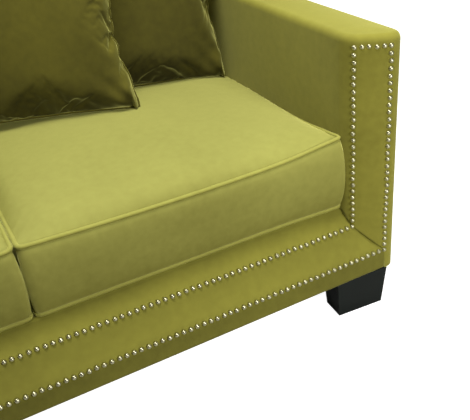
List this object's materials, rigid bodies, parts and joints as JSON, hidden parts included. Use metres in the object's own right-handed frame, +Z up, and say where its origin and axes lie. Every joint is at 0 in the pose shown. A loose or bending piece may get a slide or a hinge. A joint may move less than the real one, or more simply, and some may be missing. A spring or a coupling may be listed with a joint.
{
  "type": "sofa",
  "caption": "Upholstered sofa with slim square arms, a bevelled front framed by nailhead rows, crowned box seat cushions, loose back cushions and block legs.",
  "frame": {"origin": "on the floor, under the centre of the bounding box", "axes": "+Z up, -Y the front of the sofa, +X its right hand when seen from the front"},
  "size_m": [1.566, 0.915, 0.8828],
  "materials": {
    "velvet": "olive green velvet with a soft sheen",
    "velvet_piping": "the same velvet over a welt cord",
    "filling": "foam and fibre filling",
    "deck_cloth": "velvet-faced felt pad",
    "dust_cloth": "black non-woven cloth",
    "webbing": "woven elastic strap",
    "timber": "planed softwood and plywood",
    "black_wood": "black lacquered hardwood, satin",
    "nickel": "polished nickel domes",
    "spring_steel": "drawn spring wire",
    "zinc_steel": "zinc plated",
    "zip_tape": "nylon coil on a dyed tape",
    "zip_metal": "aged brass"
  },
  "bodies": {
    "frame": {"arm_front_panel_left": "velvet", "arm_front_panel_right": "velvet", "arm_front_post_left": "timber", "arm_front_post_right": "timber", "arm_inside_panel_left": "velvet", "arm_inside_panel_right": "velvet", "arm_nails_left": "nickel", "arm_nails_right": "nickel", "arm_outside_panel_left": "velvet", "arm_outside_panel_right": "velvet", "arm_top_panel_left": "velvet", "arm_top_panel_right": "velvet", "arm_top_rail_left": "timber", "arm_top_rail_right": "timber", "back_end_panel_left": "velvet", "back_end_panel_right": "velvet", "back_posts": "timber", "back_rail": "timber", "back_tack_rail": "timber", "back_top_panel": "velvet", "back_top_rail": "timber", "back_webbing": "webbing", "base_front_panel": "velvet", "base_nails": "nickel", "centre_stretcher": "timber", "corner_blocks": "timber", "deck_pad": "deck_cloth", "dust_cover": "dust_cloth", "end_rail_left": "timber", "end_rail_right": "timber", "front_leg_left": "black_wood", "front_leg_right": "black_wood", "front_rail": "timber", "inside_back_panel": "velvet", "leg_bolts": "zinc_steel", "leg_tee_nuts": "zinc_steel", "outside_back_panel": "velvet", "rear_leg_left": "black_wood", "rear_leg_right": "black_wood", "seat_springs": "spring_steel", "spring_clips": "spring_steel", "spring_ledges": "timber"},
    "seat_cushion_right": {"seat_core_right": "filling", "seat_cover_right": "velvet", "seat_piping_right": "velvet_piping", "seat_zip_right": "zip_tape"},
    "seat_cushion_left": {"seat_core_left": "filling", "seat_cover_left": "velvet", "seat_piping_left": "velvet_piping", "seat_zip_left": "zip_tape"},
    "zip_slider_right": {"seat_zip_slider_right": "zip_metal"},
    "zip_slider_left": {"seat_zip_slider_left": "zip_metal"},
    "back_cushion_right": {"back_core_right": "filling", "back_cover_right": "velvet"},
    "back_cushion_left": {"back_core_left": "filling", "back_cover_left": "velvet"},
    "toss_pillow_front": {"pillow_cover_front": "velvet", "pillow_insert_front": "filling"},
    "toss_pillow_corner": {"pillow_cover_corner": "velvet", "pillow_insert_corner": "filling"}
  },
  "joints": [
    {"name": "seat_cushion_right_pull", "type": "slide", "parent": "frame", "child": "seat_cushion_right", "axis": [0, -1, 0], "range_m": [0, 0.6]},
    {"name": "zip_right_run", "type": "slide", "parent": "seat_cushion_right", "child": "zip_slider_right", "axis": [-1, 0, 0], "range_m": [0, 0.5]},
    {"name": "back_cushion_right_lift", "type": "slide", "parent": "frame", "child": "back_cushion_right", "axis": [0, 0.1564, 0.9877], "range_m": [0, 0.45]},
    {"name": "seat_cushion_left_pull", "type": "slide", "parent": "frame", "child": "seat_cushion_left", "axis": [0, -1, 0], "range_m": [0, 0.6]},
    {"name": "zip_left_run", "type": "slide", "parent": "seat_cushion_left", "child": "zip_slider_left", "axis": [-1, 0, 0], "range_m": [0, 0.5]},
    {"name": "back_cushion_left_lift", "type": "slide", "parent": "frame", "child": "back_cushion_left", "axis": [0, 0.1564, 0.9877], "range_m": [0, 0.45]},
    {"name": "toss_pillow_front_lift", "type": "slide", "parent": "seat_cushion_right", "child": "toss_pillow_front", "axis": [0, 0, 1], "range_m": [0, 0.35]},
    {"name": "toss_pillow_corner_lift", "type": "slide", "parent": "seat_cushion_right", "child": "toss_pillow_corner", "axis": [0, 0.1564, 0.9877], "range_m": [0, 0.35]}
  ]
}
